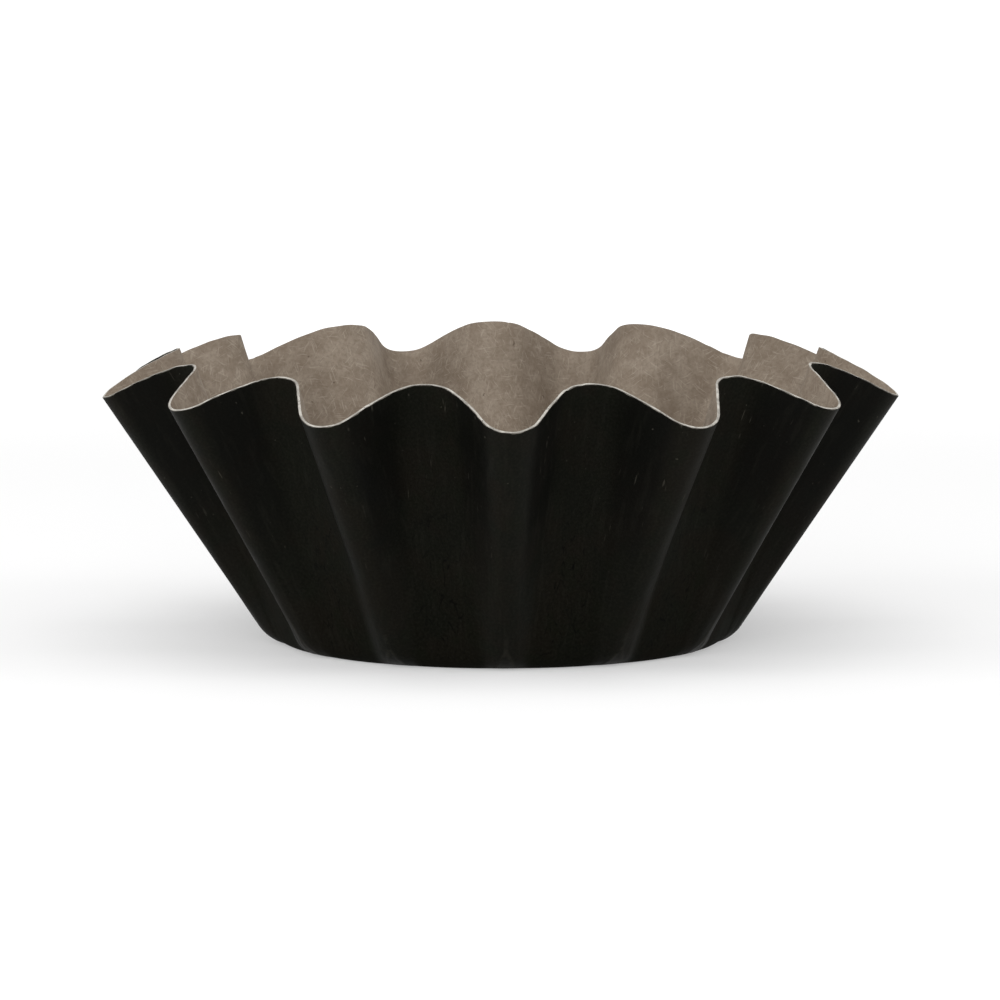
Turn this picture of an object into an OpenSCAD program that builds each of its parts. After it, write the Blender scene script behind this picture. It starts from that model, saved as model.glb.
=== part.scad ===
// Pressed paper cupcake liner: one round sheet with a flat, recessed base and a fluted wall.
// The sheet keeps its length from base to rim, so the rim stands higher at a valley than at a crest.
// The crests are broad and round at the rim and draw in to narrower ridges towards the base.

/* [Paper] */
// Thickness of the paper
paper_t = 0.3; // [0.2:0.05:0.5]

/* [Base] */
// Diameter at which the flat base and a valley would meet in a sharp corner
base_d = 49.8; // [46:0.2:56]
// How much further out that corner lies at a crest
crest_out = 0.6; // [0:0.1:1.2]
// Outside radius of the fold between the base and the wall at a valley
fold_r = 2.2; // [1.2:0.1:3.6]
// Outside radius of that fold at a crest, where it leaves a flattened foot
foot_r = 4.4; // [2.4:0.1:5.6]
// Width of the flat ring that the liner stands on, between the recess and the fold
ring_w = 4.9; // [3:0.1:8]
// Height that the round recess is pushed up into the cup
recess_h = 0.9; // [0.4:0.1:1.4]
// Width of the sloping step round the recess
step_w = 1.3; // [0.9:0.1:2]

/* [Wall] */
// Number of flutes
flutes = 13; // [10:1:16]
// Length of the wall along the paper at a valley, from the sharp corner at the base to the rim
wall_l = 33.8; // [28:0.1:42]
// Rim diameter over the crests of the flutes
crest_d = 88.4; // [84:0.2:94]
// Rim diameter in the valleys between the flutes
valley_d = 71.6; // [65:0.2:77]
// Outside radius of a crest at the rim
crest_r = 3.6; // [2.4:0.1:4.2]
// Outside radius of a valley at the rim
valley_r = 3; // [2:0.1:4]
// Share of its angle at the rim that a crest, with its flanks, still spans where it meets the fold
pinch = 0.7; // [0.2:0.05:1]

/* [Hidden] */

// Steps of the curves: round half a crest or valley, over the recess's step, round the fold, up
// the wall
crest_steps = 4;
valley_steps = 3;
emboss_steps = 4;
fold_steps = 4;
wall_steps = 4;

// Direction that the first crest faces
front = -90;

half_pitch = 180 / flutes;

// The rim in plan, over half a flute that starts on the X axis: crest arc, straight flank, valley arc.
// The flank is the line that touches the crest's circle on one side and the valley's on the other.
crest_c = [crest_d / 2 - crest_r, 0];
valley_c = (valley_d / 2 + valley_r) * [cos(half_pitch), sin(half_pitch)];
centres = valley_c - crest_c;
flank_n = atan2(centres.y, centres.x) + asin((crest_r + valley_r) / norm(centres)) - 90;

function on_crest(a) = crest_c + crest_r * [cos(a), sin(a)];
function on_valley(a) = valley_c - valley_r * [cos(a), sin(a)];
function between(a, b, part) = a + (b - a) * part;

// Points from a crest's top to the next valley's floor, with the flank's two ends among them
half_flute = [
    for (i = [0 : crest_steps]) on_crest(flank_n * i / crest_steps),
    for (i = [0 : valley_steps]) on_valley(between(flank_n, half_pitch, i / valley_steps))
];
last = len(half_flute) - 1;

// One column of points runs up the wall to each of these. It is stated as its radius at the rim, its
// angle there and its angle at the fold, where the crest has drawn in and the valley has widened.
flank_end = atan2(half_flute[crest_steps + 1].y, half_flute[crest_steps + 1].x);
function drawn_in(a) = a < flank_end
    ? pinch * a
    : between(pinch * flank_end, half_pitch, (a - flank_end) / (half_pitch - flank_end));
function column(p) = let (a = atan2(p.y, p.x)) [norm(p), a, drawn_in(a)];
function mirrored(q) = [q[0], 2 * half_pitch - q[1], 2 * half_pitch - q[2]];
function turned(q, a) = [q[0], q[1] + a, q[2] + a];
one_flute = [
    for (i = [0 : last]) column(half_flute[i]),
    for (i = [last - 1 : -1 : 1]) mirrored(column(half_flute[i]))
];
rim = [for (k = [0 : flutes - 1], q = one_flute) turned(q, front + 2 * half_pitch * k)];
columns = len(rim);

// Below the point of the rim that has radius r: how near it is to a crest, from 0 to 1, the radius
// of the sharp corner at the base, the length of the wall, its angle from the horizontal, the
// fold's radius, and the radius at which the fold starts
function near_crest(r) = (2 * r - valley_d) / (crest_d - valley_d);
function corner(r) = base_d / 2 + crest_out * near_crest(r);
function length(r) = wall_l - crest_out * near_crest(r);
function rise(r) = acos((r - corner(r)) / length(r));
function fold(r) = between(fold_r, foot_r, near_crest(r));
function fold_start(r) = corner(r) - fold(r) * tan(rise(r) / 2);

recess_r = min(fold_start(valley_d / 2), fold_start(crest_d / 2)) - ring_w - step_w;

// Side view of the outside face at one column, as [radius, height, part of the way up the wall]
// after the centre: the recess's step, the fold into the wall, and the straight wall up to the rim
function side(r) = let (up = rise(r), start = fold_start(r)) [
    for (i = [0 : emboss_steps]) let (part = i / emboss_steps)
        [recess_r + step_w * part, recess_h * (1 + cos(180 * part)) / 2, 0],
    for (i = [0 : fold_steps]) let (a = up * i / fold_steps)
        [start + fold(r) * sin(a), fold(r) * (1 - cos(a)), 0],
    for (i = [1 : wall_steps])
        let (part = i / wall_steps, s = between(corner(r) - start, length(r), part))
        [corner(r) + s * cos(up), s * sin(up), part]
];

centre = [0, 0, recess_h];
outside = [for (q = rim) [for (p = side(q[0])) let (turn = between(q[2], q[1], p[2]))
    [p[0] * cos(turn), p[0] * sin(turn), p[1]]]];
rows = len(outside[0]);

// Unit normal of the outside face at column j and row i, from the points around it
function unit(v) = v / norm(v);
function face_normal(j, i) = unit(cross(
    outside[(j + 1) % columns][i] - outside[(j + columns - 1) % columns][i],
    outside[j][min(i + 1, rows - 1)] - (i == 0 ? centre : outside[j][i - 1])));

// One paper thickness in from the outside face, square to it
inside = [for (j = [0 : columns - 1])
    [for (i = [0 : rows - 1]) outside[j][i] - paper_t * face_normal(j, i)]];

// The whole sheet as one closed skin. A column's points run out along the outside face, over the
// cut edge and back along the inside one, and a fan of triangles closes each face at the centre.
// Each four-sided patch to the next column is cut in two along the line that both faces of the
// paper share, and the line leans the other way past a valley.
module liner() {
    strip = 2 * rows;
    points = [
        for (j = [0 : columns - 1]) each concat(
            outside[j], [for (i = [rows - 1 : -1 : 0]) inside[j][i]]),
        centre,
        centre + [0, 0, paper_t]
    ];
    centre_out = len(points) - 2;
    centre_in = len(points) - 1;
    faces = [for (j = [0 : columns - 1])
        let (a0 = j * strip, b0 = ((j + 1) % columns) * strip, to_valley = j % (2 * last) < last)
        each concat(
            [[centre_out, a0, b0], [a0 + strip - 1, centre_in, b0 + strip - 1]],
            [for (i = [0 : strip - 2])
                let (a = a0 + i, b = b0 + i)
                each to_valley == (i < rows)
                    ? [[a, a + 1, b + 1], [a, b + 1, b]]
                    : [[a, a + 1, b], [a + 1, b + 1, b]]])];
    color("#1c1b17") polyhedron(points, faces);
}

liner();
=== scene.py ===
"""Looks of a pressed paper cupcake liner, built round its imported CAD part.

The liner is one round sheet of greaseproof paper: coated dark on the outside, bare on the inside,
with a pale cut edge. Its form is a function of two parameters, the way round the sheet and the way
out from its centre, and every mark on it is laid out on the flat sheet that it was pressed from.
"""

import logging
import math
from dataclasses import dataclass, field
from enum import Enum, IntEnum
from functools import reduce

import bpy
import numpy as np
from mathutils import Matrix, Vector


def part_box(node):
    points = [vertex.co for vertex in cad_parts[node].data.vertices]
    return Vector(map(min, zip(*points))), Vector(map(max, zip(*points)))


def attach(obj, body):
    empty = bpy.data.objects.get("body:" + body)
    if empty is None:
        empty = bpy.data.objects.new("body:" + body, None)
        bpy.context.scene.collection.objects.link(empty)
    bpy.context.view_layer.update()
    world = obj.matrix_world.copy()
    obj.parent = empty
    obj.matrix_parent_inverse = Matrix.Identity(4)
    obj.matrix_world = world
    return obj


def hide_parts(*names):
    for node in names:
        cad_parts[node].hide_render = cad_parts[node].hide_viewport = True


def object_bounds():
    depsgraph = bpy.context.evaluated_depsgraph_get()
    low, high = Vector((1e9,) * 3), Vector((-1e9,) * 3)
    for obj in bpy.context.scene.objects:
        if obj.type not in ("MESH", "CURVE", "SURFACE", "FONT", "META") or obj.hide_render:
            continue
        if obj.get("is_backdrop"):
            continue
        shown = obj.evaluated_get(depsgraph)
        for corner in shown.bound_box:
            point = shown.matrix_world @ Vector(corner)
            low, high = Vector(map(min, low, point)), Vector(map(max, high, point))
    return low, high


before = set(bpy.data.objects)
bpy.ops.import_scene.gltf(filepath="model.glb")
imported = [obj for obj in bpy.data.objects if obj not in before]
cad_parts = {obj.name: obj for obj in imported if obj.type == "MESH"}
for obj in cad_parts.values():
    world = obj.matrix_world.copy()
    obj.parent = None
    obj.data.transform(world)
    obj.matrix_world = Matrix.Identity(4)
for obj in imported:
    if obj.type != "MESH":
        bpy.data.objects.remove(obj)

LOG = logging.getLogger("liner")
MM = 0.001
NODE = "liner"
BODY = "root"

Socket = bpy.types.NodeSocket
Input = Socket | float | tuple
Tone = tuple[float, float, float, float]
Layer = tuple[Socket, float, Tone]

WHITE: Tone = (1.0, 1.0, 1.0, 1.0)


def linear(red: int, green: int, blue: int) -> Tone:
    """Turns a screen colour into the linear colour that a shader takes.

    Args:
        red: Red from 0 to 255.
        green: Green from 0 to 255.
        blue: Blue from 0 to 255.

    Returns:
        Linear red, green and blue from 0 to 1, and full opacity.
    """
    parts = [c / 255 for c in (red, green, blue)]
    return tuple(c / 12.92 if c <= 0.04045 else ((c + 0.055) / 1.055) ** 2.4 for c in parts) + (1.0,)


def smooth_step(x: np.ndarray, start: float, end: float) -> np.ndarray:
    """Rises from 0 at start to 1 at end, level at both, by the cubic t * t * (3 - 2 * t).

    Args:
        x: Where to read it.
        start: Where the rise begins.
        end: Where it is complete.

    Returns:
        The height at each x, from 0 to 1.
    """
    t = np.clip((x - start) / (end - start), 0.0, 1.0)
    return t * t * (3.0 - 2.0 * t)


def ripple(height: float, angle: np.ndarray) -> np.ndarray:
    """Adds up waves: height times the sum of the angles' cosines, over the root of half their number.

    Args:
        height: About how far the waves reach together.
        angle: Angle of each wave at each place, last axis the waves.

    Returns:
        Relief at each place, in the height's unit.
    """
    return height * math.sqrt(2 / angle.shape[-1]) * np.cos(angle).sum(-1)


def put(name: str, data: bpy.types.ID) -> bpy.types.Object:
    """Puts a mesh, a lamp or a camera in the scene.

    Args:
        name: Name of its object.
        data: What the object holds.

    Returns:
        The object, at the origin.
    """
    thing = bpy.data.objects.new(name, data)
    bpy.context.scene.collection.objects.link(thing)
    return thing


def aim(thing: bpy.types.Object, way: float, height: float, far: float, above: float = 0.0) -> None:
    """Stands a lamp or the camera off from the liner and turns it to face back.

    Args:
        thing: What to move.
        way: Degrees round from the front, to the right.
        height: Degrees above the floor.
        far: Distance in metres.
        above: How far above the floor it aims, in metres.
    """
    a, e = math.radians(way), math.radians(height)
    back = Vector((math.sin(a) * math.cos(e), -math.cos(a) * math.cos(e), math.sin(e)))
    thing.location = Vector((0, 0, above)) + back * far
    thing.rotation_euler = back.to_track_quat("Z", "Y").to_euler()


class Face(IntEnum):
    """The faces of the sheet, in the order of the mesh's material slots."""

    OUTSIDE = 0
    EDGE = 1
    INSIDE = 2


class Mark(Enum):
    """Names of the point attributes that the finishes read."""

    BLANK = "blank"
    FLUTE = "flute"
    WALL = "wall"


@dataclass(frozen=True)
class Undulation:
    """Smooth random relief over the flat sheet, made of many plane waves.

    The spread is how far a wave's length may lie from the stated one, as a share of it.
    """

    wavelength: float
    height: float
    seed: int
    waves: int = 28
    spread: float = 0.33

    def over(self, flat: np.ndarray) -> np.ndarray:
        """Ripples of k . p + phase, each k with a random direction and two pi over its wavelength long.

        Args:
            flat: Places on the flat sheet, last axis x and y.

        Returns:
            Relief at each place, in metres.
        """
        chance = np.random.default_rng(self.seed)
        way = chance.uniform(0, 2 * np.pi, self.waves)
        length = 2 * np.pi / (self.wavelength * chance.uniform(1 - self.spread, 1 + self.spread, self.waves))
        phase = chance.uniform(0, 2 * np.pi, self.waves)
        k = length * np.array([np.cos(way), np.sin(way)])
        return ripple(self.height, flat @ k + phase)


@dataclass(frozen=True)
class Gathers:
    """Fine radial pleats where the pressing took up the sheet's spare length round the base."""

    height: float = 0.006 * MM
    fewest: int = 50
    most: int = 125
    waves: int = 30
    drift: float = 260.0
    seed: int = 5

    def over(self, turn: np.ndarray, reach: np.ndarray) -> np.ndarray:
        """Ripples of n * turn + slip * reach + phase, each slip a random share of the drift.

        Each n is a whole number, so that the relief closes on itself round the sheet.

        Args:
            turn: Angle round the flat sheet.
            reach: Distance from its centre.

        Returns:
            Relief at each place, in metres.
        """
        chance = np.random.default_rng(self.seed)
        count = chance.integers(self.fewest, self.most, self.waves)
        slip = chance.uniform(-self.drift, self.drift, self.waves)
        phase = chance.uniform(0, 2 * np.pi, self.waves)
        return ripple(self.height, turn[..., None] * count + reach[..., None] * slip + phase)


@dataclass(frozen=True)
class Foot:
    """The flattened foot of a ridge: the ridge forks into two small creases above the base.

    The fork, the end, the fade below it and the top of the ridge's own rise are shares of the way up
    the wall. The spread at the end and the width are shares of the way from crest to valley. Below
    the end the creases go on apart, up to this many times the spread.
    """

    fork: float = 0.134
    end: float = 0.054
    fade: float = 0.04
    ridge_top: float = 0.3
    spread: float = 0.19
    past_end: float = 1.4
    width: float = 0.04
    height: float = 0.045 * MM

    def over(self, flute: np.ndarray, wall: np.ndarray) -> np.ndarray:
        """Height times a bell curve across each crease, fading out above the fork and below its end.

        Args:
            flute: Way from crest to valley.
            wall: Way up the wall.

        Returns:
            Relief at each place, in metres.
        """
        apart = self.spread * np.clip((self.fork - wall) / (self.fork - self.end), 0.0, self.past_end)
        across = np.exp(-(((flute - apart) / self.width) ** 2))
        begun = smooth_step(wall, self.end - self.fade, self.end)
        return self.height * across * begun * (1 - smooth_step(wall, self.fork, self.ridge_top))


@dataclass(frozen=True)
class CutEdge:
    """The raw edge left by the cutting die: a little fuzz, and a few nicks.

    The fuzz is made of waves, the coarsest and the finest counted round the sheet. A nick's width is
    an angle. The swell is how far the middle of the edge stands up, as a share of its thickness.
    """

    fuzz: float = 0.016 * MM
    coarsest: int = 20
    finest: int = 150
    waves: int = 60
    nick_depth: float = 0.12 * MM
    nick_width: float = 0.0035
    nicks: int = 17
    swell: float = 0.1
    seed: int = 11

    def offset(self, turn: np.ndarray) -> np.ndarray:
        """How much longer or shorter the sheet is at each angle.

        It is a ripple of whole numbers of waves, less a bell curve at each nick.

        Args:
            turn: Angles round the flat sheet.

        Returns:
            Extra length at each angle, in metres.
        """
        chance = np.random.default_rng(self.seed)
        count = chance.integers(self.coarsest, self.finest, self.waves)
        phase = chance.uniform(0, 2 * np.pi, self.waves)
        fuzz = ripple(self.fuzz, turn[:, None] * count + phase)
        at = chance.uniform(0, 2 * np.pi, self.nicks)
        deep = self.nick_depth * chance.uniform(0.3, 1.0, self.nicks)
        wide = self.nick_width * chance.uniform(0.6, 1.8, self.nicks)
        away = np.angle(np.exp(1j * (turn[:, None] - at)))
        return fuzz - (deep * np.exp(-((away / wide) ** 2))).sum(1)


@dataclass(frozen=True)
class Handling:
    """How this liner differs from the tool that pressed it.

    A crest's set moves its rim in or out, counted from the front crest round to the right, and its
    swing turns it about the middle, in radians. A valley's set is counted from the one to the right
    of the front crest. The sheet keeps its length, so what stands further in also stands higher.
    """

    crest_set: tuple[float, ...] = (
        -0.35 * MM, -0.25 * MM, -0.95 * MM, -0.1 * MM, -0.2 * MM, -0.35 * MM, -0.15 * MM,
        -0.3 * MM, -0.1 * MM, -0.4 * MM, -0.1 * MM, -0.95 * MM, -0.5 * MM,
    )
    valley_set: tuple[float, ...] = (
        0.15 * MM, 0.3 * MM, 0.15 * MM, 0.3 * MM, 0.4 * MM, 0.15 * MM, 0.3 * MM,
        0.15 * MM, 0.35 * MM, 0.15 * MM, 0.3 * MM, 0.15 * MM, 0.05 * MM,
    )
    swing: tuple[float, ...] = (
        0.004, 0.002, -0.003, 0.001, 0.004, -0.003, 0.002,
        -0.004, 0.003, -0.002, 0.0, 0.002, 0.007,
    )
    dents: Undulation = Undulation(wavelength=12 * MM, height=0.06 * MM, seed=3)
    cockle: Undulation = Undulation(wavelength=4.0 * MM, height=0.01 * MM, seed=8)
    gathers: Gathers = Gathers()
    foot: Foot = Foot()
    edge: CutEdge = CutEdge()

    def relief(self, flute: np.ndarray, wall: np.ndarray, blank: np.ndarray, turn: np.ndarray,
               reach: np.ndarray) -> np.ndarray:
        """Adds up the dents and cockles off the ridges, the gathers low on the wall and the feet.

        Args:
            flute: Way from crest to valley of each column.
            wall: Way up the wall of each place.
            blank: Place on the flat sheet.
            turn: Angle round the flat sheet.
            reach: Distance from its centre.

        Returns:
            How far the sheet stands off its pressed form at each place, in metres.
        """
        off_ridge = smooth_step(flute, 0.15, 0.6)
        dented = smooth_step(wall, 0.05, 0.6) * off_ridge * self.dents.over(blank)
        cockled = smooth_step(wall, 0.02, 0.2) * off_ridge * self.cockle.over(blank)
        low = smooth_step(wall, 0.0, 0.06) * (1 - smooth_step(wall, 0.12, 0.42))
        return dented + cockled + low * self.gathers.over(turn, reach) + self.foot.over(flute, wall)


@dataclass(frozen=True)
class Resolution:
    """Numbers of steps in the mesh: round half a flute, and out along each face of the sheet."""

    crest: int = 10
    flank: int = 9
    valley: int = 10
    floor: int = 4
    step: int = 9
    ring: int = 5
    fold: int = 12
    outside_wall: int = 40
    inside_wall: int = 20
    edge: int = 2


@dataclass(frozen=True)
class Rim:
    """The rim in plan, one value to a column of the mesh.

    They are its angle at the rim and at the fold, its radius, its angle on the flat sheet and its
    way from crest to valley.
    """

    angle: np.ndarray
    foot: np.ndarray
    radius: np.ndarray
    turn: np.ndarray
    flute: np.ndarray


@dataclass(frozen=True)
class Skin:
    """One face of the sheet as a grid of columns by rows, from the recess out to the rim.

    It holds each point's place, its place on the flat sheet and its way up the wall.
    """

    place: np.ndarray
    blank: np.ndarray
    wall: np.ndarray


@dataclass
class PressedLiner:
    """The paper liner: a flat base with a round recess, a fold, and a wall of flutes.

    Lengths are in metres and describe the outside face. Most are the CAD part's own. The valleys are
    rounder at the rim, and the softening rounds off the places where arcs meet flanks.
    """

    crest_radius: float
    top: float
    flutes: int = 13
    valley_radius: float = 35.8 * MM
    crest_bend: float = 3.6 * MM
    valley_bend: float = 3.9 * MM
    softening: float = 0.6 * MM
    base_radius: float = 24.9 * MM
    crest_out: float = 0.6 * MM
    fold_bend: float = 2.2 * MM
    foot_bend: float = 4.4 * MM
    ring_width: float = 4.9 * MM
    step_width: float = 1.3 * MM
    recess_height: float = 0.9 * MM
    pinch: float = 0.7
    paper: float = 0.3 * MM
    front: float = -math.pi / 2
    handling: Handling = field(default_factory=Handling)
    steps: Resolution = field(default_factory=Resolution)

    @classmethod
    def from_frame(cls) -> "PressedLiner":
        """Takes the reach of the front crest and the height of the rim from the CAD node."""
        low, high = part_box(NODE)
        return cls(crest_radius=-low.y, top=high.z)

    @property
    def half_pitch(self) -> float:
        """Half the angle from one crest to the next."""
        return math.pi / self.flutes

    @property
    def wall_length(self) -> float:
        """Length of the wall along the paper at a valley, from the sharp corner to the rim.

        The rim's highest point is the inside face at a valley, which the paper's thickness lifts
        by its share of the wall's run over its length.
        """
        run = self.valley_radius - self.base_radius
        lift = self.paper * run / math.hypot(self.top, run)
        return math.hypot(self.top - lift, run)

    def nearness(self, radius: np.ndarray) -> np.ndarray:
        """How near a crest the rim is where it has this radius: 0 in a valley, 1 on a crest."""
        return (radius - self.valley_radius) / (self.crest_radius - self.valley_radius)

    def corner(self, radius: np.ndarray) -> np.ndarray:
        """Radius of the sharp corner at the base, below a point of the rim with this radius."""
        return self.base_radius + self.crest_out * self.nearness(radius)

    def rise(self, radius: np.ndarray) -> np.ndarray:
        """Angle of the wall from the horizontal: the arc cosine of its run over its length."""
        length = self.wall_length - self.crest_out * self.nearness(radius)
        return np.arccos((radius - self.corner(radius)) / length)

    def fold(self, radius: np.ndarray) -> tuple[np.ndarray, np.ndarray]:
        """Radius of the fold's arc, and the radius from the centre at which the fold starts."""
        bend = self.fold_bend + (self.foot_bend - self.fold_bend) * self.nearness(radius)
        return bend, self.corner(radius) - bend * np.tan(self.rise(radius) / 2)

    def soften(self, closed: np.ndarray, walked: np.ndarray) -> np.ndarray:
        """Rounds off the places where the rim's arcs meet its flanks, as springy paper does.

        Each point becomes the mean of the rim about it, weighted by a bell curve over the length.

        Args:
            closed: Points of one flute in the complex plane, with the next one's first.
            walked: Length along the rim up to each of them.

        Returns:
            The flute's own points, softened.
        """
        pitch = walked[-1]
        fine = np.linspace(-1, 2, 1201) * pitch
        lap = np.floor(fine / pitch)
        sampled = np.interp(fine - lap * pitch, walked, closed) * np.exp(2j * self.half_pitch * lap)
        weight = np.exp(-0.5 * ((walked[:-1, None] - fine) / self.softening) ** 2)
        return weight @ sampled / weight.sum(axis=1)

    def rim(self) -> Rim:
        """Draws the rim in plan, as points in the complex plane.

        Half a flute is an arc round the crest, the straight line that touches both circles, and
        an arc round the valley. Its mirror image completes the flute, and turning it makes the
        rest. Each crest and valley then takes its own set, weighted by the square of the cosine
        of the way from it. At the fold the crest and its flanks have drawn in to a share of their
        angle at the rim, and the valley fills the rest.

        Returns:
            Angle at the rim and at the fold, radius, angle on the flat sheet and way from crest to
            valley, for each column.
        """
        s = self.steps
        crest = complex(self.crest_radius - self.crest_bend)
        valley = (self.valley_radius + self.valley_bend) * np.exp(1j * self.half_pitch)
        apart = valley - crest
        lean = np.angle(apart) + math.asin((self.crest_bend + self.valley_bend) / abs(apart)) - np.pi / 2
        round_crest = crest + self.crest_bend * np.exp(1j * lean * np.linspace(0, 1, s.crest + 1))
        swept = lean + (self.half_pitch - lean) * np.linspace(0, 1, s.valley + 1)
        round_valley = valley - self.valley_bend * np.exp(1j * swept)
        flank = round_crest[-1] + (round_valley[0] - round_crest[-1]) * np.linspace(0, 1, s.flank + 1)
        half = np.concatenate([round_crest, flank[1:-1], round_valley])
        back = np.conj(half[-2:0:-1]) * np.exp(2j * self.half_pitch)
        flute = np.concatenate([half, back])

        closed = np.append(flute, half[0] * np.exp(2j * self.half_pitch))
        walked = np.append(0.0, np.cumsum(np.abs(np.diff(closed))))
        flute = self.soften(closed, walked)
        part = walked[:-1] / walked[-1]
        to_valley = 1.0 - np.abs(1.0 - 2.0 * part)
        number = np.arange(self.flutes)[:, None]
        nearest = (number + (part > 0.5)) % self.flutes
        near_crest = np.cos(to_valley * np.pi / 2) ** 2
        spread = np.angle(flute)
        end = np.angle(round_valley[0])
        knots = np.array([0.0, end, self.half_pitch, 2 * self.half_pitch - end, 2 * self.half_pitch])
        places = knots + (self.pinch - 1) * end * np.array([0.0, 1.0, 0.0, -1.0, 0.0])
        drawn_in = np.interp(spread, knots, places)

        h = self.handling
        radius = np.abs(flute) + near_crest * np.take(h.crest_set, nearest)
        radius = radius + (1 - near_crest) * np.take(h.valley_set, number)
        start = self.front + 2 * self.half_pitch * number
        angle = start + spread + near_crest * np.take(h.swing, nearest)
        foot = start + drawn_in
        turn = start + 2 * self.half_pitch * part
        return Rim(*[x.ravel() for x in (angle, foot, radius, turn)], np.tile(to_valley, self.flutes))

    def profile(self, radius: np.ndarray, length: np.ndarray,
                wall_steps: int) -> tuple[np.ndarray, np.ndarray]:
        """Side view of the outside face at every column: floor, recess step, ring, fold and wall.

        The floor and the ring are level. The step falls by half a cosine wave. The fold is an arc
        that starts level and ends at the wall's rise, with a larger radius at a crest, where it
        leaves a flattened foot. The wall is straight.

        Args:
            radius: Rim radius of each column.
            length: Wall length of each column, from the sharp corner.
            wall_steps: Number of steps up the wall.

        Returns:
            Radius and height, and how far up the wall each row is, from 0 at the fold's start to 1.
        """
        s = self.steps
        up = self.rise(radius)[:, None]
        corner = self.corner(radius)[:, None]
        bend, start = (x[:, None] for x in self.fold(radius))
        ends = self.fold(np.array([self.valley_radius, self.crest_radius]))[1]
        recess = ends.min() - self.ring_width - self.step_width
        level = np.ones_like(up)

        out = np.linspace(0, 1, s.floor + 1)[1:]
        floor = (level * recess * out, level * self.recess_height * np.ones(s.floor))
        part = np.linspace(0, 1, s.step + 1)[1:]
        step = (level * (recess + self.step_width * part),
                level * self.recess_height * (1 + np.cos(np.pi * part)) / 2)
        part = np.linspace(0, 1, s.ring + 1)[1:-1]
        inner = recess + self.step_width
        ring = (inner + (start - inner) * part, level * np.zeros(s.ring - 1))
        turned = up * np.linspace(0, 1, s.fold + 1)
        fold = (start + bend * np.sin(turned), bend * (1 - np.cos(turned)))
        reach = corner - start
        along = reach + (length[:, None] - reach) * np.linspace(0, 1, wall_steps + 1)[1:]
        wall = (corner + along * np.cos(up), along * np.sin(up))

        parts = (floor, step, ring, fold, wall)
        side = np.stack([np.concatenate([p[axis] for p in parts], axis=1) for axis in (0, 1)], axis=-1)
        below = s.floor + s.step + s.ring - 1
        bent = bend * turned
        walked = np.concatenate([bent, bent[:, -1:] + along - reach], axis=1)
        flat = np.concatenate([side[:, :below, 0] - side[:, below:below + 1, 0], walked], axis=1)
        return side, flat / walked[:, -1:]

    def skin(self, rim: Rim, wall_steps: int, depth: float) -> Skin:
        """Lays one face of the sheet out as a grid.

        The blank's coordinates are the distance from the centre along the sheet, turned by the
        column's angle on the flat sheet. The relief is added along the surface's normal, which is
        the cross product of the grid's two directions.

        Args:
            rim: The rim in plan.
            wall_steps: Number of steps up the wall.
            depth: How far in from the outside face this face lies.

        Returns:
            The grid of places, of blank coordinates and of ways up the wall.
        """
        h = self.handling
        length = self.wall_length - self.crest_out * self.nearness(rim.radius) + h.edge.offset(rim.turn)
        side, wall = self.profile(rim.radius, length, wall_steps)
        out, height = side[..., 0], side[..., 1]
        above = np.arange(side.shape[1]) - (side.shape[1] - 1 - wall_steps)
        drawn = np.clip(above / wall_steps, 0, 1)
        ways = (rim.angle, rim.turn)
        spread, turn = (rim.foot[:, None] + drawn * (way - rim.foot)[:, None] for way in ways)
        place = np.stack([out * np.cos(spread), out * np.sin(spread), height], axis=-1)

        walked = np.linalg.norm(np.diff(side, axis=1), axis=-1)
        reach = np.concatenate([side[:, :1, 0], walked], axis=1).cumsum(axis=1)
        blank = np.stack([reach * np.cos(turn), reach * np.sin(turn)], axis=-1)

        away = np.roll(place, -1, axis=0) - np.roll(place, 1, axis=0)
        normal = np.cross(away, np.gradient(place, axis=1))
        normal /= np.linalg.norm(normal, axis=-1, keepdims=True)
        relief = h.relief(rim.flute[:, None], wall, blank, turn, reach)
        place = place + (relief - depth)[..., None] * normal
        return Skin(place, blank, wall)

    def bake_places(self, blank: np.ndarray, face: Face) -> np.ndarray:
        """Lays both faces of the sheet flat on one square picture, as two discs corner to corner.

        Args:
            blank: Blank coordinates.
            face: Which face they are on. The edge borders the outside's disc.

        Returns:
            Places on the picture, from 0 to 1.
        """
        whole = self.base_radius + self.wall_length
        margin, outside, inside = 0.004, 0.312, 0.262
        if face is Face.INSIDE:
            return 1 - margin - inside + inside * blank / whole
        return margin + outside + outside * blank * (-1, 1) / whole

    def build(self) -> bpy.types.Object:
        """Joins the outside, the cut edge and the inside into one closed mesh.

        Returns:
            The finished piece.
        """
        rim = self.rim()
        s = self.steps
        outside = self.skin(rim, s.outside_wall, 0.0)
        inside = self.skin(rim, s.inside_wall, self.paper)
        across = np.linspace(0, 1, s.edge + 1)[1:-1, None]
        lips = [x[:, -1:] for x in (outside.place, inside.place)]
        swell = np.sin(across[:, 0] * np.pi)[None, :, None] * self.paper * self.handling.edge.swell
        upward = outside.place[:, -1:] - outside.place[:, -2:-1]
        upward /= np.linalg.norm(upward, axis=-1, keepdims=True)
        edge = lips[0] + (lips[1] - lips[0]) * across + swell * upward

        rows = outside.place.shape[1] + edge.shape[1] + inside.place.shape[1]
        place = np.concatenate([outside.place, edge, inside.place[:, ::-1]], axis=1)
        rim_blank = outside.blank[:, -1:] * (1 + across * self.paper / self.wall_length)
        blank = np.concatenate([outside.blank, rim_blank, inside.blank[:, ::-1]], axis=1)
        wall = np.concatenate([outside.wall, np.ones(edge.shape[:2]), inside.wall[:, ::-1]], axis=1)
        flute = rim.flute[:, None] * np.ones(rows)

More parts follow.
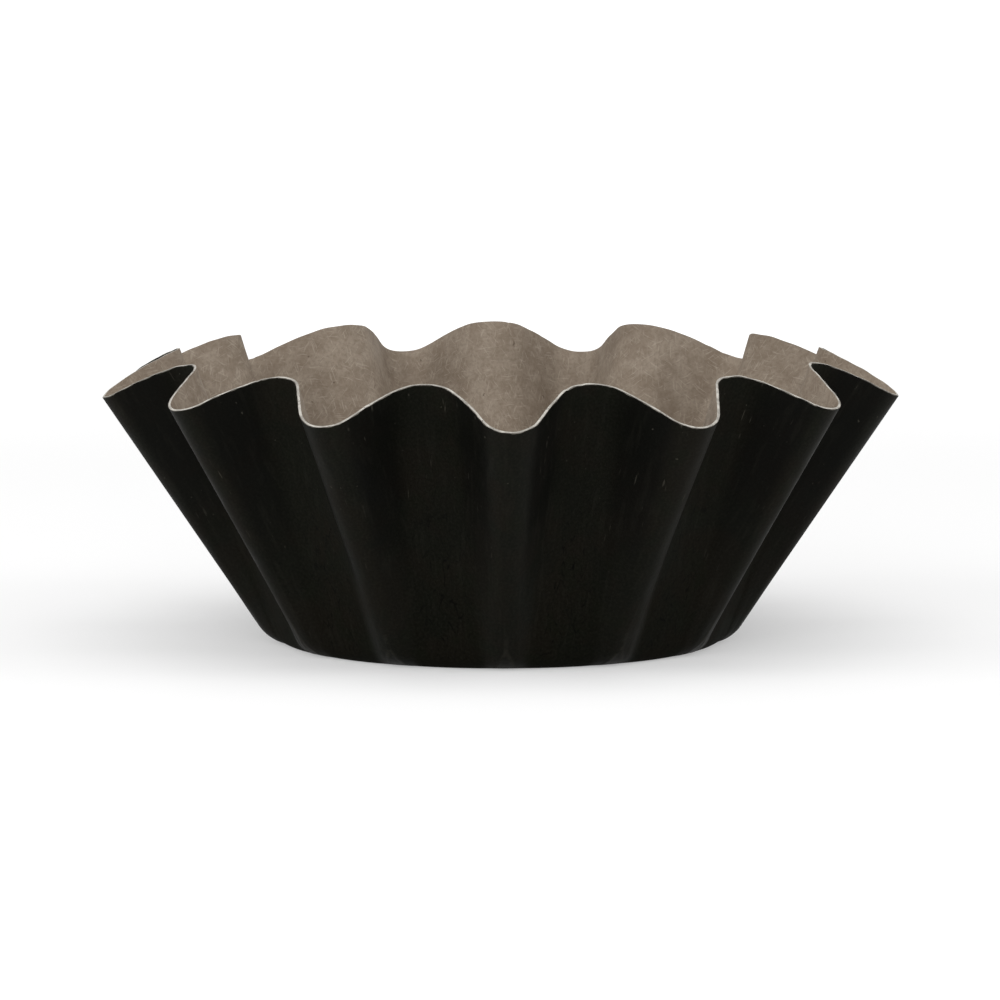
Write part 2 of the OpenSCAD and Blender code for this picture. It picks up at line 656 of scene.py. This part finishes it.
        turned = outside.place.shape[1] + edge.shape[1]
        side = np.zeros((len(rim.angle), rows, 1))
        side[:, turned:] = 1.0
        side[:, turned - edge.shape[1]:turned] = across
        poles = np.array([[0, 0, self.recess_height], [0, 0, self.recess_height + self.paper]])
        piece = self.mesh(place, poles, outside.place.shape[1], turned)
        mesh = piece.data
        flat = np.concatenate([blank, side], axis=-1).reshape(-1, 3)
        self.mark(mesh, Mark.BLANK, np.vstack([flat, [[0, 0, 0], [0, 0, 1]]]))
        self.mark(mesh, Mark.FLUTE, np.append(flute.ravel(), [1.0, 1.0]))
        self.mark(mesh, Mark.WALL, np.append(wall.ravel(), [-1.0, -1.0]))
        self.lay_out(mesh)
        return piece

    def mesh(self, place: np.ndarray, poles: np.ndarray, lip: int, turned: int) -> bpy.types.Object:
        """Makes the closed mesh from its grid of points and its two poles.

        A column's points run out along the outside, over the edge and back along the inside. Each
        quad joins two columns and two rows, and a fan closes each face at its pole.

        Args:
            place: Places, columns by rows.
            poles: Centre of the outside and of the inside.
            lip: Number of rows on the outside.
            turned: Row at which the inside starts.

        Returns:
            The object, with material indices, smooth faces and a crisp edge.
        """
        columns, rows = place.shape[:2]
        at = np.arange(columns)[:, None] * rows
        on = np.roll(at, -1, axis=0)
        row = np.arange(rows - 1)
        quads = np.stack([at + row, on + row, on + row + 1, at + row + 1], axis=-1).reshape(-1, 4)
        first, last = columns * rows, columns * rows + 1
        foot = np.stack([np.full(columns, first), on[:, 0], at[:, 0]], axis=-1)
        top = np.stack([np.full(columns, last), at[:, 0] + rows - 1, on[:, 0] + rows - 1], axis=-1)

        corners = np.concatenate([quads.ravel(), foot.ravel(), top.ravel()])
        counts = np.concatenate([np.full(len(quads), 4), np.full(2 * columns, 3)])
        mesh = bpy.data.meshes.new("liner_paper")
        mesh.vertices.add(columns * rows + 2)
        mesh.vertices.foreach_set("co", np.vstack([place.reshape(-1, 3), poles]).astype(np.float32).ravel())
        mesh.loops.add(len(corners))
        mesh.loops.foreach_set("vertex_index", corners.astype(np.int32))
        mesh.polygons.add(len(counts))
        mesh.polygons.foreach_set("loop_start", (np.cumsum(counts) - counts).astype(np.int32))
        kind = np.full(rows - 1, int(Face.OUTSIDE))
        kind[lip - 1:turned] = int(Face.EDGE)
        kind[turned:] = int(Face.INSIDE)
        worn = np.concatenate([np.tile(kind, columns), np.full(columns, int(Face.OUTSIDE)),
                               np.full(columns, int(Face.INSIDE))])
        mesh.polygons.foreach_set("material_index", worn.astype(np.int32))
        mesh.update(calc_edges=True)
        mesh.shade_smooth()
        self.crisp(mesh, rows, (lip - 1, turned))
        return put("liner_paper", mesh)

    def crisp(self, mesh: bpy.types.Mesh, rows: int, sharp_rows: tuple[int, int]) -> None:
        """Marks the two lips of the cut edge as sharp.

        Args:
            mesh: The mesh to mark.
            rows: Number of rows in a column.
            sharp_rows: The rows whose edges round the rim are sharp.
        """
        ends = np.empty(len(mesh.edges) * 2, np.int32)
        mesh.edges.foreach_get("vertices", ends)
        ends = ends.reshape(-1, 2) % rows
        sharp = (ends[:, 0] == ends[:, 1]) & np.isin(ends[:, 0], sharp_rows)
        mesh.attributes.new("sharp_edge", "BOOLEAN", "EDGE").data.foreach_set("value", sharp)

    def mark(self, mesh: bpy.types.Mesh, name: Mark, values: np.ndarray) -> None:
        """Stores one value or vector for each point, for the finishes to read.

        Args:
            mesh: The mesh to mark.
            name: Which mark it is.
            values: One number or three for each point.
        """
        kind, part = ("FLOAT_VECTOR", "vector") if values.ndim > 1 else ("FLOAT", "value")
        layer = mesh.attributes.new(name.value, kind, "POINT")
        layer.data.foreach_set(part, values.astype(np.float32).ravel())

    def lay_out(self, mesh: bpy.types.Mesh) -> None:
        """Gives the mesh the flat sheet's own map.

        Args:
            mesh: The mesh, with its blank coordinates already marked.
        """
        corner = np.empty(len(mesh.loops), np.int32)
        mesh.loops.foreach_get("vertex_index", corner)
        blank = np.empty(len(mesh.vertices) * 3, np.float32)
        mesh.attributes[Mark.BLANK.value].data.foreach_get("vector", blank)
        worn = np.empty(len(mesh.polygons), np.int32)
        mesh.polygons.foreach_get("material_index", worn)
        total = np.empty(len(mesh.polygons), np.int32)
        mesh.polygons.foreach_get("loop_total", total)
        flat = blank.reshape(-1, 3)[corner, :2]
        inside = (np.repeat(worn, total) == Face.INSIDE)[:, None]
        uv = np.where(inside, self.bake_places(flat, Face.INSIDE), self.bake_places(flat, Face.OUTSIDE))
        layer = mesh.uv_layers.new(name="OFBake")
        layer.uv.foreach_set("vector", uv.astype(np.float32).ravel())


class Recipe:
    """Short calls that add nodes to one material and join them."""

    def __init__(self, name: str) -> None:
        """Starts an empty material.

        Args:
            name: Name of the material.
        """
        self.material = bpy.data.materials.new(name)
        self.material.use_nodes = True
        self.tree = self.material.node_tree
        self.tree.nodes.clear()
        self.marks: dict[Mark, Socket] = {}

    def add(self, kind: str, **settings: object) -> bpy.types.Node:
        """Adds one node.

        Args:
            kind: Type of the node.
            settings: Its own settings, by name.

        Returns:
            The new node.
        """
        node = self.tree.nodes.new(kind)
        for name, value in settings.items():
            setattr(node, name, value)
        return node

    def feed(self, sockets: bpy.types.NodeInputs, values: dict[str | int, Input]) -> None:
        """Joins outputs to a node's inputs, or writes plain values on them.

        Args:
            sockets: The node's inputs.
            values: For each input, by name or number, another node's output or a plain value.
        """
        for name, value in values.items():
            if isinstance(value, bpy.types.NodeSocket):
                self.tree.links.new(value, sockets[name])
            else:
                sockets[name].default_value = value

    def mark(self, name: Mark) -> Socket:
        """Reads one of the mesh's own marks, through a single node in each material.

        Args:
            name: Which mark to read.

        Returns:
            The mark's vector or number.
        """
        if name not in self.marks:
            node = self.add("ShaderNodeAttribute", attribute_name=name.value)
            self.marks[name] = node.outputs["Vector" if name is Mark.BLANK else "Fac"]
        return self.marks[name]

    def calc(self, operation: str, *inputs: Input) -> Socket:
        """Works out one sum on numbers.

        Args:
            operation: Name of the sum, such as ADD, MULTIPLY or POWER.
            inputs: The numbers that it takes, in order.

        Returns:
            The result.
        """
        node = self.add("ShaderNodeMath", operation=operation)
        self.feed(node.inputs, dict(enumerate(inputs)))
        return node.outputs[0]

    def vector(self, operation: str, *inputs: Input) -> Socket:
        """Works out one sum on vectors.

        Args:
            operation: Name of the sum, such as MULTIPLY or LENGTH.
            inputs: The vectors that it takes, in order.

        Returns:
            The resulting vector, or the number where the sum is a length.
        """
        node = self.add("ShaderNodeVectorMath", operation=operation)
        self.feed(node.inputs, dict(enumerate(inputs)))
        return node.outputs["Value" if operation == "LENGTH" else "Vector"]

    def product(self, *inputs: Input) -> Socket:
        """Multiplies several masks and numbers together, in their order."""
        return reduce(lambda one, two: self.calc("MULTIPLY", one, two), inputs)

    def total(self, *inputs: Input) -> Socket:
        """Adds several heights and numbers together, in their order."""
        return reduce(lambda one, two: self.calc("ADD", one, two), inputs)

    def stretched(self, place: Socket, scale: tuple[float, float, float], turn: float = 0.0) -> Socket:
        """Scales a pattern's coordinates along its axes, after turning them in the sheet's plane.

        Args:
            place: The coordinates.
            scale: Factor along each axis.
            turn: Angle to turn them by, in radians.

        Returns:
            The new coordinates.
        """
        turned = self.add("ShaderNodeVectorRotate", rotation_type="Z_AXIS")
        self.feed(turned.inputs, {"Vector": place, "Angle": turn})
        return self.vector("MULTIPLY", turned.outputs[0], scale)

    def ramp(self, value: Input, start: float, end: float, low: float = 0.0, high: float = 1.0) -> Socket:
        """Goes smoothly from one number to another.

        Args:
            value: What decides how far it has gone.
            start: Where it leaves the low number.
            end: Where it reaches the high one.
            low: The number at the start.
            high: The number at the end.

        Returns:
            A number from low to high.
        """
        node = self.add("ShaderNodeMapRange", interpolation_type="SMOOTHSTEP")
        self.feed(node.inputs, dict(enumerate((value, start, end, low, high))))
        return node.outputs[0]

    def clouds(self, place: Socket, size: float, detail: float = 2.0, rough: float = 0.5,
               warp: float = 0.0) -> bpy.types.Node:
        """Adds cloudy noise.

        Args:
            place: Where to read it.
            size: About how wide its patches are, in metres.
            detail: How many times finer patches are added.
            rough: How strong the finer ones are.
            warp: How much the patches are twisted.

        Returns:
            The noise's node, with a number and a colour from 0 to 1.
        """
        node = self.add("ShaderNodeTexNoise")
        self.feed(node.inputs, {"Vector": place, "Scale": 1 / size, "Detail": detail, "Roughness": rough,
                                "Distortion": warp})
        return node

    def noise(self, place: Socket, *form: float) -> Socket:
        """Cloudy noise as a number from 0 to 1, its form as for clouds."""
        return self.clouds(place, *form).outputs["Fac"]

    def bent(self, place: Socket, size: float, amount: float) -> Socket:
        """Pushes coordinates about by noise, so that lines drawn on them wander.

        Args:
            place: The coordinates.
            size: About how wide the bends are, in metres.
            amount: How far they push, in metres.

        Returns:
            The new coordinates.
        """
        push = self.clouds(place, size).outputs["Color"]
        return self.vector("MULTIPLY_ADD", push, (amount, amount, 0.0), place)

    def spokes(self, place: Socket, along: float) -> Socket:
        """Draws a pattern out along the radius.

        The direction becomes a place on a circle of 40 mm, so that nothing breaks off where the
        angle starts again, and the distance becomes a height.

        Args:
            place: Where on the flat sheet, from its centre.
            along: Share of the distance that is kept.

        Returns:
            Coordinates for the pattern.
        """
        flat = self.stretched(place, (1.0, 1.0, 0.0))
        lift = self.add("ShaderNodeCombineXYZ")
        self.feed(lift.inputs, {"Z": self.product(self.vector("LENGTH", flat), along)})
        way = self.vector("NORMALIZE", flat)
        return self.vector("MULTIPLY_ADD", way, (40 * MM, 40 * MM, 0.0), lift.outputs[0])

    def creases(self, place: Socket, size: float, width: float) -> Socket:
        """Draws thin lines between cells.

        Args:
            place: Where to read them.
            size: About how wide a cell is, in metres.
            width: How far a line fades out to each side, in metres.

        Returns:
            1 on a line, 0 away from it.
        """
        node = self.add("ShaderNodeTexVoronoi", feature="DISTANCE_TO_EDGE")
        self.feed(node.inputs, {"Vector": place, "Scale": 1 / size})
        return self.ramp(node.outputs["Distance"], 0.0, width / size, 1.0, 0.0)

    def layered(self, under: Tone, *layers: Layer) -> Socket:
        """Lays colours over one another.

        Args:
            under: The colour beneath them all.
            layers: The mask, the strength and the colour of each layer, from the lowest up.

        Returns:
            The colour that shows.
        """
        colour = under
        for mask, strength, tone in layers:
            node = self.add("ShaderNodeMix", data_type="RGBA")
            self.feed(node.inputs, {"Factor": self.product(mask, strength), 6: colour, 7: tone})
            colour = node.outputs[2]
        return colour

    def relief(self, height: Socket) -> Socket:
        """Turns a height in millimetres into a bumped normal."""
        node = self.add("ShaderNodeBump")
        self.feed(node.inputs, {"Strength": 1.0, "Distance": MM, "Height": height})
        return node.outputs[0]

    def finish(self, colour: Socket, roughness: Input, normal: Socket, specular: float) -> bpy.types.Material:
        """Ends the recipe in one shader.

        Args:
            colour: Base colour.
            roughness: From 0, a mirror, to 1, quite matt.
            normal: The bumped normal.
            specular: Strength of the reflection.

        Returns:
            The recipe's material.
        """
        shader = self.add("ShaderNodeBsdfPrincipled")
        self.feed(shader.inputs, {"Base Color": colour, "Roughness": roughness, "Normal": normal,
                                  "Specular IOR Level": specular})
        self.feed(self.add("ShaderNodeOutputMaterial").inputs, {"Surface": shader.outputs[0]})
        return self.material


@dataclass(frozen=True)
class CoatedOutside:
    """The dark greaseproof coating: brown-black and satin, with the paper's fibres under it, painted shade on
    its flanks, and painted highlights along the fold and on the creases at each ridge's foot.
    """

    dark: Tone = linear(10, 11, 6)
    brown: Tone = linear(17, 15, 10)
    green: Tone = linear(13, 15, 8)
    # wear: the pale tone of wear, streaks and rings, and also of the painted highlight along the fold at the
    # foot of the wall
    wear_and_highlight: Tone = linear(44, 43, 37)
    # scuff: the pale tone of the scuffs, and also of the painted highlight on the creases at each ridge's
    # foot
    scuff_and_highlight: Tone = linear(92, 89, 80)
    # crack: the colour of the cracks, and also of the painted shade on the flanks
    crack: Tone = linear(3, 3, 2)
    thread: Tone = linear(176, 170, 158)
    foot: Foot = Foot()
    roughness: tuple[float, float] = (0.5, 0.64)
    specular: float = 0.05

    def scuffs(self, r: Recipe, drawn: Socket, clouds: Socket) -> Socket:
        """Finds the scratches, which run up the wall, and the flecks, both mostly near the rim.

        Args:
            r: The recipe in the making.
            drawn: Places on the sheet, drawn out along the radius.
            clouds: Noise that picks the patches with scratches.

        Returns:
            1 on a scratch or a fleck, 0 elsewhere.
        """
        wall = r.mark(Mark.WALL)
        patches = r.ramp(clouds, 0.5, 0.6)
        scratches = r.product(r.ramp(r.noise(drawn, 0.3 * MM, 1.0), 0.7, 0.78), patches)
        flecks = r.ramp(r.noise(r.mark(Mark.BLANK), 0.6 * MM, 1.0), 0.75, 0.8)
        near_rim = r.product(r.ramp(wall, 0.3, 0.95, 0.2, 1.0), r.ramp(wall, 0.02, 0.12))
        return r.product(r.calc("MAXIMUM", scratches, flecks), near_rim)

    def cracks(self, r: Recipe, specks: Socket) -> Socket:
        """Finds the fine cracks that run up the valleys from the base.

        Args:
            r: The recipe in the making.
            specks: Noise that breaks the cracks up.

        Returns:
            1 on a crack, 0 elsewhere.
        """
        flute, wall = r.mark(Mark.FLUTE), r.mark(Mark.WALL)
        wandering = r.bent(r.spokes(r.mark(Mark.BLANK), 0.4), 0.9 * MM, 0.6 * MM)
        low = r.product(r.ramp(wall, 0.03, 0.1), r.ramp(wall, 0.4, 0.8, 1.0, 0.0))
        in_valley = r.product(r.ramp(flute, 0.7, 0.92), low)
        return r.product(r.creases(wandering, 1.5 * MM, 0.07 * MM), in_valley, r.ramp(specks, 0.45, 0.6))

    def forks(self, r: Recipe, at_foot: Socket, specks: Socket) -> Socket:
        """Finds the two creases at the foot of each ridge, which take a pale painted highlight.

        Args:
            r: The recipe in the making.
            at_foot: 1 on the wall just above the base.
            specks: Noise that breaks the creases up.

        Returns:
            1 on a crease, 0 elsewhere.
        """
        below = r.calc("SUBTRACT", self.foot.fork, r.mark(Mark.WALL))
        apart = r.product(below, self.foot.spread / (self.foot.fork - self.foot.end))
        gap = r.calc("SUBTRACT", r.mark(Mark.FLUTE), r.calc("MAXIMUM", apart, 0.0))
        near = r.ramp(r.calc("ABSOLUTE", gap), 0.01, 0.07, 1.0, 0.0)
        return r.product(near, at_foot, r.ramp(specks, 0.36, 0.56))

    def ripples(self, r: Recipe, clouds: Socket) -> Socket:
        """Finds the rings that the pressing left on the flat ring of the base.

        Args:
            r: The recipe in the making.
            clouds: Noise that picks where they show.

        Returns:
            Up to 1 on a ring, 0 elsewhere.
        """
        wall = r.mark(Mark.WALL)
        rings = r.add("ShaderNodeTexWave", wave_type="RINGS", rings_direction="Z")
        r.feed(rings.inputs, {"Vector": r.bent(r.mark(Mark.BLANK), 9 * MM, 2.2 * MM),
                              "Scale": 0.3 / (0.9 * MM), "Distortion": 1.2, "Detail": 2.0})
        on_ring = r.product(r.ramp(wall, -0.2, -0.17), r.ramp(wall, -0.01, 0.0, 1.0, 0.0))
        return r.product(r.calc("POWER", rings.outputs["Fac"], 3.0), on_ring, r.ramp(clouds, 0.42, 0.58))

    def material(self) -> bpy.types.Material:
        """Builds the finish in the flat sheet's own coordinates.

        Returns:
            The finished material.
        """
        r = Recipe("dark_coating")
        sheet, flute, wall = r.mark(Mark.BLANK), r.mark(Mark.FLUTE), r.mark(Mark.WALL)
        felt = r.noise(sheet, 0.32 * MM, 3.0, 0.6)
        clouds = r.noise(sheet, 7 * MM, 3.0, 0.55, 0.6)
        specks = r.noise(sheet, 1.3 * MM, 3.0, 0.6)
        drawn = r.spokes(sheet, 0.14)
        streaks = r.noise(drawn, 0.7 * MM, 3.0, 0.6)
        scuffs = self.scuffs(r, drawn, clouds)

        # flank: where the painted shade goes, on the flanks between crest and valley
        flank = r.product(r.ramp(flute, 0.12, 0.3), r.ramp(flute, 0.6, 0.85, 1.0, 0.0))
        at_foot = r.product(r.ramp(wall, 0.02, 0.05), r.ramp(wall, 0.13, 0.24, 1.0, 0.0))
        # painted highlight: a thin broken pale line along the fold at the foot of the wall
        fold_highlight = r.product(r.ramp(wall, -0.02, 0.0), r.ramp(wall, 0.0, 0.022, 1.0, 0.0), r.ramp(felt, 0.3, 0.6))
        frayed = r.product(r.ramp(wall, 0.997, 0.9995), r.ramp(r.noise(sheet, 1.5 * MM), 0.42, 0.66))
        colour = r.layered(
            self.dark,
            (r.ramp(clouds, 0.38, 0.62), 1.0, self.brown),
            (r.ramp(r.noise(sheet, 3.4 * MM), 0.5, 0.68), 0.6, self.green),
            (r.ramp(felt, 0.35, 0.75), 0.2, self.wear_and_highlight),
            # painted shade: the flanks darkened towards the rim in the crack colour, standing in for the
            # shade on the sides of the flutes
            (r.product(flank, r.ramp(wall, 0.2, 0.8)), 0.7, self.crack),
            (r.product(r.ramp(streaks, 0.5, 0.75), r.ramp(wall, 0.02, 0.12)), 0.14, self.wear_and_highlight),
            (scuffs, 0.3, self.scuff_and_highlight),
            (self.cracks(r, specks), 1.0, self.crack),
            # painted highlight on the two creases at each ridge's foot, in the scuff colour
            (self.forks(r, at_foot, specks), 0.09, self.scuff_and_highlight),
            # painted highlight along the fold, in the wear colour
            (fold_highlight, 0.6, self.wear_and_highlight),
            (self.ripples(r, clouds), 0.25, self.wear_and_highlight),
            (frayed, 0.6, self.thread),
        )

        height = r.total(r.product(felt, 0.018), r.product(specks, 0.02), r.product(streaks, 0.012))
        valley_foot = r.product(r.ramp(flute, 0.45, 0.8), r.ramp(wall, 0.15, 0.5, 1.0, 0.0))
        ridge_foot = r.product(r.ramp(flute, 0.08, 0.24, 1.0, 0.0), at_foot)
        rough = r.total(
            r.ramp(clouds, 0.3, 0.7, *self.roughness),
            r.product(scuffs, 0.2),
            r.ramp(flute, 0.4, 0.8, 0.0, 0.16),
            r.product(valley_foot, 0.18),
            r.product(ridge_foot, -0.12),
        )
        return r.finish(colour, rough, r.relief(height), self.specular)


@dataclass(frozen=True)
class BareInside:
    """The uncoated inside: taupe paper, matt and fibrous, with painted shade in the grooves behind the crests
    and in the corner at the fold.

    The fibres lie in three directions, given in radians on the flat sheet.
    """

    mid: Tone = linear(128, 115, 101)
    light: Tone = linear(143, 131, 117)
    # deep: a darker tone for the mottling, and also for the painted shade in the grooves and at the fold
    deep: Tone = linear(105, 92, 78)
    fibre: Tone = linear(172, 162, 148)
    bark: Tone = linear(66, 52, 39)
    lay: tuple[float, ...] = (0.3, 1.4, 2.5)
    roughness: tuple[float, float] = (0.72, 0.9)
    specular: float = 0.25

    def material(self) -> bpy.types.Material:
        """Builds the finish in the flat sheet's own coordinates.

        Returns:
            The finished material.
        """
        r = Recipe("bare_paper")
        sheet, flute, wall = r.mark(Mark.BLANK), r.mark(Mark.FLUTE), r.mark(Mark.WALL)
        clouds = r.noise(sheet, 9 * MM, 3.0, 0.5, 0.5)
        mottle = r.noise(sheet, 1.8 * MM, 3.0, 0.6)
        felt = r.noise(sheet, 0.4 * MM, 3.0, 0.6)
        curled = r.bent(sheet, 2.4 * MM, 0.8 * MM)
        strands = [r.noise(r.stretched(curled, (1.0, 0.1, 1.0), way), 0.2 * MM, 1.0) for way in self.lay]

        # pressed: painted shade in the narrow grooves that the crests make on the inside, up the wall
        pressed = r.product(r.ramp(flute, 0.0, 0.12, 1.0, 0.0), r.ramp(wall, 0.0, 0.06))
        # painted shade in the inside corner where the floor turns up into the wall
        corner_shade = r.product(r.ramp(wall, -0.01, 0.02), r.ramp(wall, 0.06, 0.12, 1.0, 0.0))
        colour = r.layered(
            self.mid,
            (r.ramp(mottle, 0.35, 0.65), 1.0, self.light),
            (r.ramp(clouds, 0.4, 0.7), 0.3, self.deep),
            (r.ramp(felt, 0.4, 0.7), 0.4, self.deep),
            *[(r.ramp(strand, 0.62, 0.72), 0.32, self.fibre) for strand in strands],
            (r.ramp(r.noise(sheet, 0.75 * MM, 1.0), 0.76, 0.8), 0.55, self.bark),
            # painted shade in the grooves behind the crests, in the deep tone
            (pressed, 0.25, self.deep),
            # painted shade in the inside corner at the fold, in the deep tone
            (corner_shade, 0.2, self.deep),
        )
        height = r.total(r.product(felt, 0.03), *[r.product(strand, 0.012) for strand in strands])
        rough = r.ramp(clouds, 0.3, 0.7, *self.roughness)
        return r.finish(colour, rough, r.relief(height), self.specular)


@dataclass(frozen=True)
class CutFibre:
    """The raw cut edge: pale fibre, and dark where the die dragged the coating over its outer lip."""

    pale: Tone = linear(194, 190, 182)
    grey: Tone = linear(150, 146, 139)
    fleck: Tone = linear(62, 56, 50)
    roughness: float = 0.9
    specular: float = 0.2

    def material(self) -> bpy.types.Material:
        """Builds the finish in the flat sheet's own coordinates, and by how far in from the outer lip.

        Returns:
            The finished material.
        """
        r = Recipe("cut_edge")
        sheet = r.stretched(r.mark(Mark.BLANK), (1.0, 1.0, 0.0))
        parts = r.add("ShaderNodeSeparateXYZ")
        r.feed(parts.inputs, {0: r.mark(Mark.BLANK)})
        reach = r.ramp(r.noise(sheet, 1.7 * MM), 0.3, 0.7, 0.06, 0.32)
        dragged = r.ramp(r.calc("SUBTRACT", parts.outputs["Z"], reach), -0.1, 0.05, 1.0, 0.0)
        fine = r.noise(sheet, 0.35 * MM, 2.0, 0.6)
        flecks = r.product(r.ramp(fine, 0.56, 0.66), r.ramp(r.noise(sheet, 5 * MM), 0.5, 0.62))
        colour = r.layered(
            self.grey,
            (r.ramp(r.noise(sheet, 1.6 * MM, 3.0, 0.6), 0.35, 0.65), 1.0, self.pale),
            (flecks, 0.85, self.fleck),
            (dragged, 0.9, self.fleck),
        )
        return r.finish(colour, self.roughness, r.relief(r.product(fine, 0.03)), self.specular)


@dataclass(frozen=True)
class Softbox:
    """One soft light, aimed at the liner.

    It hangs so many degrees round from the front to the right and above the floor, and so many
    metres off. Its size is its width and height in metres, and its power is in watts.
    """

    name: str
    way: float
    height: float
    far: float
    size: tuple[float, float]
    power: float

    def hang(self) -> None:
        """Makes the lamp and turns it to the liner."""
        lamp = bpy.data.lights.new(self.name, "AREA")
        lamp.shape = "RECTANGLE"
        lamp.size, lamp.size_y = self.size
        lamp.energy = self.power
        aim(put(self.name, lamp), self.way, self.height, self.far)


@dataclass(frozen=True)
class Studio:
    """Plain soft light, a pale floor that keeps the shadow, and a white surround.

    The floor glows a little where it is seen. The glow fades up to plain white between the two
    distances of the fade.
    """

    floor_size: float = 12.0
    world_light: float = 0.42
    floor_tone: float = 0.62
    glow: float = 0.36
    fade: tuple[float, float] = (0.16, 0.6)
    lamps: tuple[Softbox, ...] = (
        Softbox("overhead", 0.0, 78.0, 1.3, (1.3, 1.1), 8.0),
        Softbox("front", -12.0, 22.0, 1.5, (1.2, 0.7), 8.0),
        Softbox("left", -72.0, 24.0, 1.3, (0.5, 0.9), 4.0),
        Softbox("right", 72.0, 24.0, 1.3, (0.5, 0.9), 4.0),
    )

    def seen(self, tree: bpy.types.NodeTree) -> Socket:
        """Tells the rays that show the background, from the camera or by way of a gloss or glass.

        Args:
            tree: Where to add the nodes.

        Returns:
            1 on such a ray, 0 on the others.
        """
        path = tree.nodes.new("ShaderNodeLightPath")
        total = path.outputs["Is Camera Ray"]
        for name in ("Is Glossy Ray", "Is Transmission Ray"):
            node = tree.nodes.new("ShaderNodeMath")
            node.operation = "MAXIMUM"
            tree.links.new(total, node.inputs[0])
            tree.links.new(path.outputs[name], node.inputs[1])
            total = node.outputs[0]
        return total

    def surround(self) -> None:
        """Lights the scene evenly, and shows white where the background is seen."""
        world = bpy.data.worlds.new("surround")
        bpy.context.scene.world = world
        world.use_nodes = True
        tree = world.node_tree
        tree.nodes.clear()
        choose = tree.nodes.new("ShaderNodeMixShader")
        for number, strength in ((1, self.world_light), (2, 1.0)):
            light = tree.nodes.new("ShaderNodeBackground")
            light.inputs["Color"].default_value = WHITE
            light.inputs["Strength"].default_value = strength
            tree.links.new(light.outputs[0], choose.inputs[number])
        tree.links.new(self.seen(tree), choose.inputs["Fac"])
        out = tree.nodes.new("ShaderNodeOutputWorld")
        tree.links.new(choose.outputs[0], out.inputs["Surface"])

    def paint(self) -> bpy.types.Material:
        """Mixes the floor's paint: matt, with a glow that grows with the distance from the liner.

        Returns:
            The finished material.
        """
        r = Recipe("floor_paint")
        matt = r.add("ShaderNodeBsdfDiffuse")
        r.feed(matt.inputs, {"Color": (self.floor_tone, self.floor_tone, self.floor_tone, 1.0)})
        away = r.vector("LENGTH", r.add("ShaderNodeTexCoord").outputs["Object"])
        glow = r.add("ShaderNodeEmission")
        strength = r.product(self.seen(r.tree), r.ramp(away, *self.fade, self.glow, 1.0))
        r.feed(glow.inputs, {"Strength": strength})
        both = r.add("ShaderNodeAddShader")
        r.feed(both.inputs, {0: matt.outputs[0], 1: glow.outputs[0]})
        r.feed(r.add("ShaderNodeOutputMaterial").inputs, {"Surface": both.outputs[0]})
        return r.material

    def floor(self) -> None:
        """Lays a level plane under the liner, as part of the stage."""
        half = self.floor_size / 2
        mesh = bpy.data.meshes.new("floor")
        mesh.from_pydata([(-half, -half, 0), (half, -half, 0), (half, half, 0), (-half, half, 0)], [],
                         [(0, 1, 2, 3)])
        mesh.materials.append(self.paint())
        put("floor", mesh)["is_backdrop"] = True

    def build(self) -> None:
        """Sets up the surround, the floor and the lights."""
        self.surround()
        self.floor()
        for lamp in self.lamps:
            lamp.hang()


@dataclass(frozen=True)
class Viewpoint:
    """The camera: low, a little left of the front crest, and far enough to flatten the flutes.

    Angles are in degrees, distances in metres, and the lens and the sensor in millimetres.
    """

    azimuth: float = -1.35
    elevation: float = 6.8
    distance: float = 0.824
    lens: float = 268.0
    sensor: float = 36.0
    clip: tuple[float, float] = (0.01, 50.0)
    aim_height: float = 15.5 * MM

    def build(self) -> None:
        """Makes the camera and looks through it."""
        data = bpy.data.cameras.new("camera")
        data.lens = self.lens
        data.sensor_width = self.sensor
        data.clip_start, data.clip_end = self.clip
        camera = put("camera", data)
        aim(camera, self.azimuth, self.elevation, self.distance, self.aim_height)
        bpy.context.scene.camera = camera


def dress(piece: bpy.types.Object) -> None:
    """Gives each face of the sheet its finish, in the order of Face.

    Args:
        piece: The liner.
    """
    finishes = {Face.OUTSIDE: CoatedOutside(), Face.EDGE: CutFibre(), Face.INSIDE: BareInside()}
    for face in Face:
        piece.data.materials.append(finishes[face].material())
        LOG.info("finish for %s: %s", face.name.lower(), piece.data.materials[-1].name)


def main() -> None:
    """Builds the liner, its finishes, the studio and the camera, in that order."""
    logging.basicConfig(level=logging.INFO, format="%(message)s")
    before = [list(corner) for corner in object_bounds()]
    piece = PressedLiner.from_frame().build()
    dress(piece)
    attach(piece, BODY)
    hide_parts(NODE)
    LOG.info("%s: %d faces", piece.name, len(piece.data.polygons))
    Studio().build()
    Viewpoint().build()
    bpy.context.scene.view_settings.view_transform = "Standard"
    after = [list(corner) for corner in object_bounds()]
    for name, box in (("cad", before), ("visual", after)):
        LOG.info("%s box in mm: %s", name, [[round(x / MM, 2) for x in corner] for corner in box])


if __name__ == "__main__":
    main()
